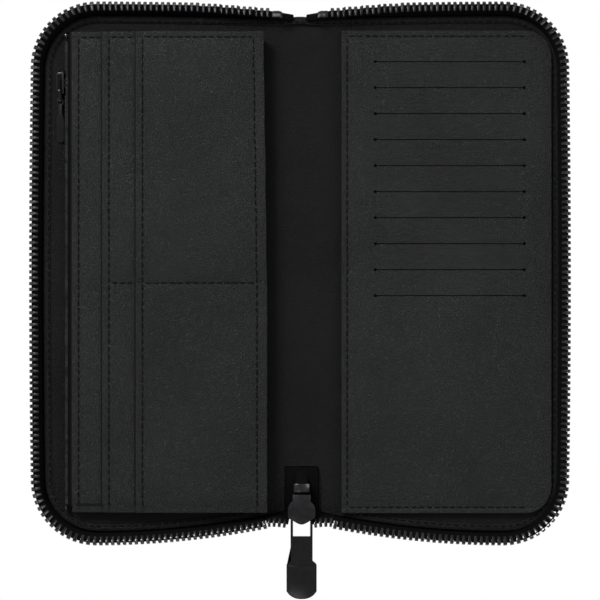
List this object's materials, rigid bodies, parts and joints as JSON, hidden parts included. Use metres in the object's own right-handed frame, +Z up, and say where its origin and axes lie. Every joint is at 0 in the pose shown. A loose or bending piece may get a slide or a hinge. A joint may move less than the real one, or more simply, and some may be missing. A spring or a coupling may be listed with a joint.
{
  "type": "zip-around long wallet",
  "caption": "Zip-around long wallet lying open on its back, with card slots, card pockets, a zipped coin pocket and a main slider with its pull.",
  "frame": {"origin": "underside of the outer cover, in the middle of the spine", "axes": "+X towards the card side, +Y towards the top edge, +Z up out of the open wallet"},
  "size_m": [0.2028, 0.2234, 0.0099],
  "materials": {
    "cover_leather": "fine grained black leather, satin",
    "panel_leather": "fine grained black leather, satin",
    "lining_leather": "smooth black leather, matt",
    "stiffener_board": "pressed fibre board",
    "zip_tape": "woven black tape",
    "pocket_cloth": "plain black lining cloth",
    "zip_metal": "glossy black plated metal",
    "slider_metal": "satin black plated metal"
  },
  "bodies": {
    "left_half": {"outer_cover_left": "cover_leather", "stiffener_left": "stiffener_board", "lining_left": "lining_leather", "rim_binding_left": "lining_leather", "zip_tape_left": "zip_tape", "zip_chain_left": "zip_metal", "zip_top_stop_left": "zip_metal", "coin_back_panel": "pocket_cloth", "coin_front_panel": "pocket_cloth", "coin_gusset_top": "pocket_cloth", "coin_gusset_bottom": "pocket_cloth", "coin_gusset_side": "pocket_cloth", "slip_pocket_panel": "panel_leather", "card_pocket_panel_outer": "panel_leather", "card_pocket_panel_inner": "panel_leather", "coin_zip_tape_lower": "zip_tape", "coin_zip_tape_upper": "zip_tape", "coin_zip_chain_lower": "zip_metal", "coin_zip_chain_upper": "zip_metal", "coin_zip_stop_lower": "zip_metal", "coin_zip_stop_upper": "zip_metal", "coin_zip_end_stop": "zip_metal"},
    "spine": {"outer_cover_spine": "cover_leather", "lining_spine": "lining_leather", "zip_tail_tape": "zip_tape", "zip_tail_stop": "zip_metal", "main_slider": "slider_metal", "zip_tape_bridge_left": "zip_tape", "zip_tape_bridge_right": "zip_tape", "zip_chain_bridge_left": "zip_metal", "zip_chain_bridge_right": "zip_metal"},
    "right_half": {"outer_cover_right": "cover_leather", "stiffener_right": "stiffener_board", "lining_right": "lining_leather", "rim_binding_right": "lining_leather", "zip_tape_right": "zip_tape", "zip_chain_right": "zip_metal", "zip_top_stop_right": "zip_metal", "card_panel_backing": "pocket_cloth", "card_pocket_lining": "pocket_cloth", "card_panel": "panel_leather"},
    "main_pull": {"main_pull": "slider_metal"},
    "coin_slider": {"coin_slider": "slider_metal"},
    "coin_link": {"coin_link": "slider_metal"},
    "coin_pull": {"coin_pull": "slider_metal"}
  },
  "joints": [
    {"name": "left_fold", "type": "hinge", "parent": "left_half", "child": "spine", "pos_m": [-0.0073, 0, 0.003], "axis": [0, -1, 0], "range_deg": [0, 90], "deforming": ["zip_tape_bridge_left", "zip_chain_bridge_left"]},
    {"name": "right_fold", "type": "hinge", "parent": "spine", "child": "right_half", "pos_m": [0.0073, 0, 0.003], "axis": [0, -1, 0], "range_deg": [0, 90], "deforming": ["zip_tape_bridge_right", "zip_chain_bridge_right"]},
    {"name": "main_pull_swing", "type": "hinge", "parent": "spine", "child": "main_pull", "pos_m": [0.0006, -0.0919, 0.00295], "axis": [1, 0, 0], "range_deg": [0, 60]},
    {"name": "coin_slide", "type": "slide", "parent": "left_half", "child": "coin_slider", "axis": [0, -1, 0], "range_m": [-0.011, 0.128], "deforming": ["coin_zip_chain_lower", "coin_zip_chain_upper"]},
    {"name": "coin_link_lift", "type": "hinge", "parent": "coin_slider", "child": "coin_link", "pos_m": [-0.0908, 0.06855, 0.00515], "axis": [-1, 0, 0], "range_deg": [0, 30]},
    {"name": "coin_pull_turn", "type": "hinge", "parent": "coin_link", "child": "coin_pull", "pos_m": [-0.0908, 0.06469, 0.00477], "axis": [0, 0.0975, -0.9952], "range_deg": [0, 6]}
  ]
}
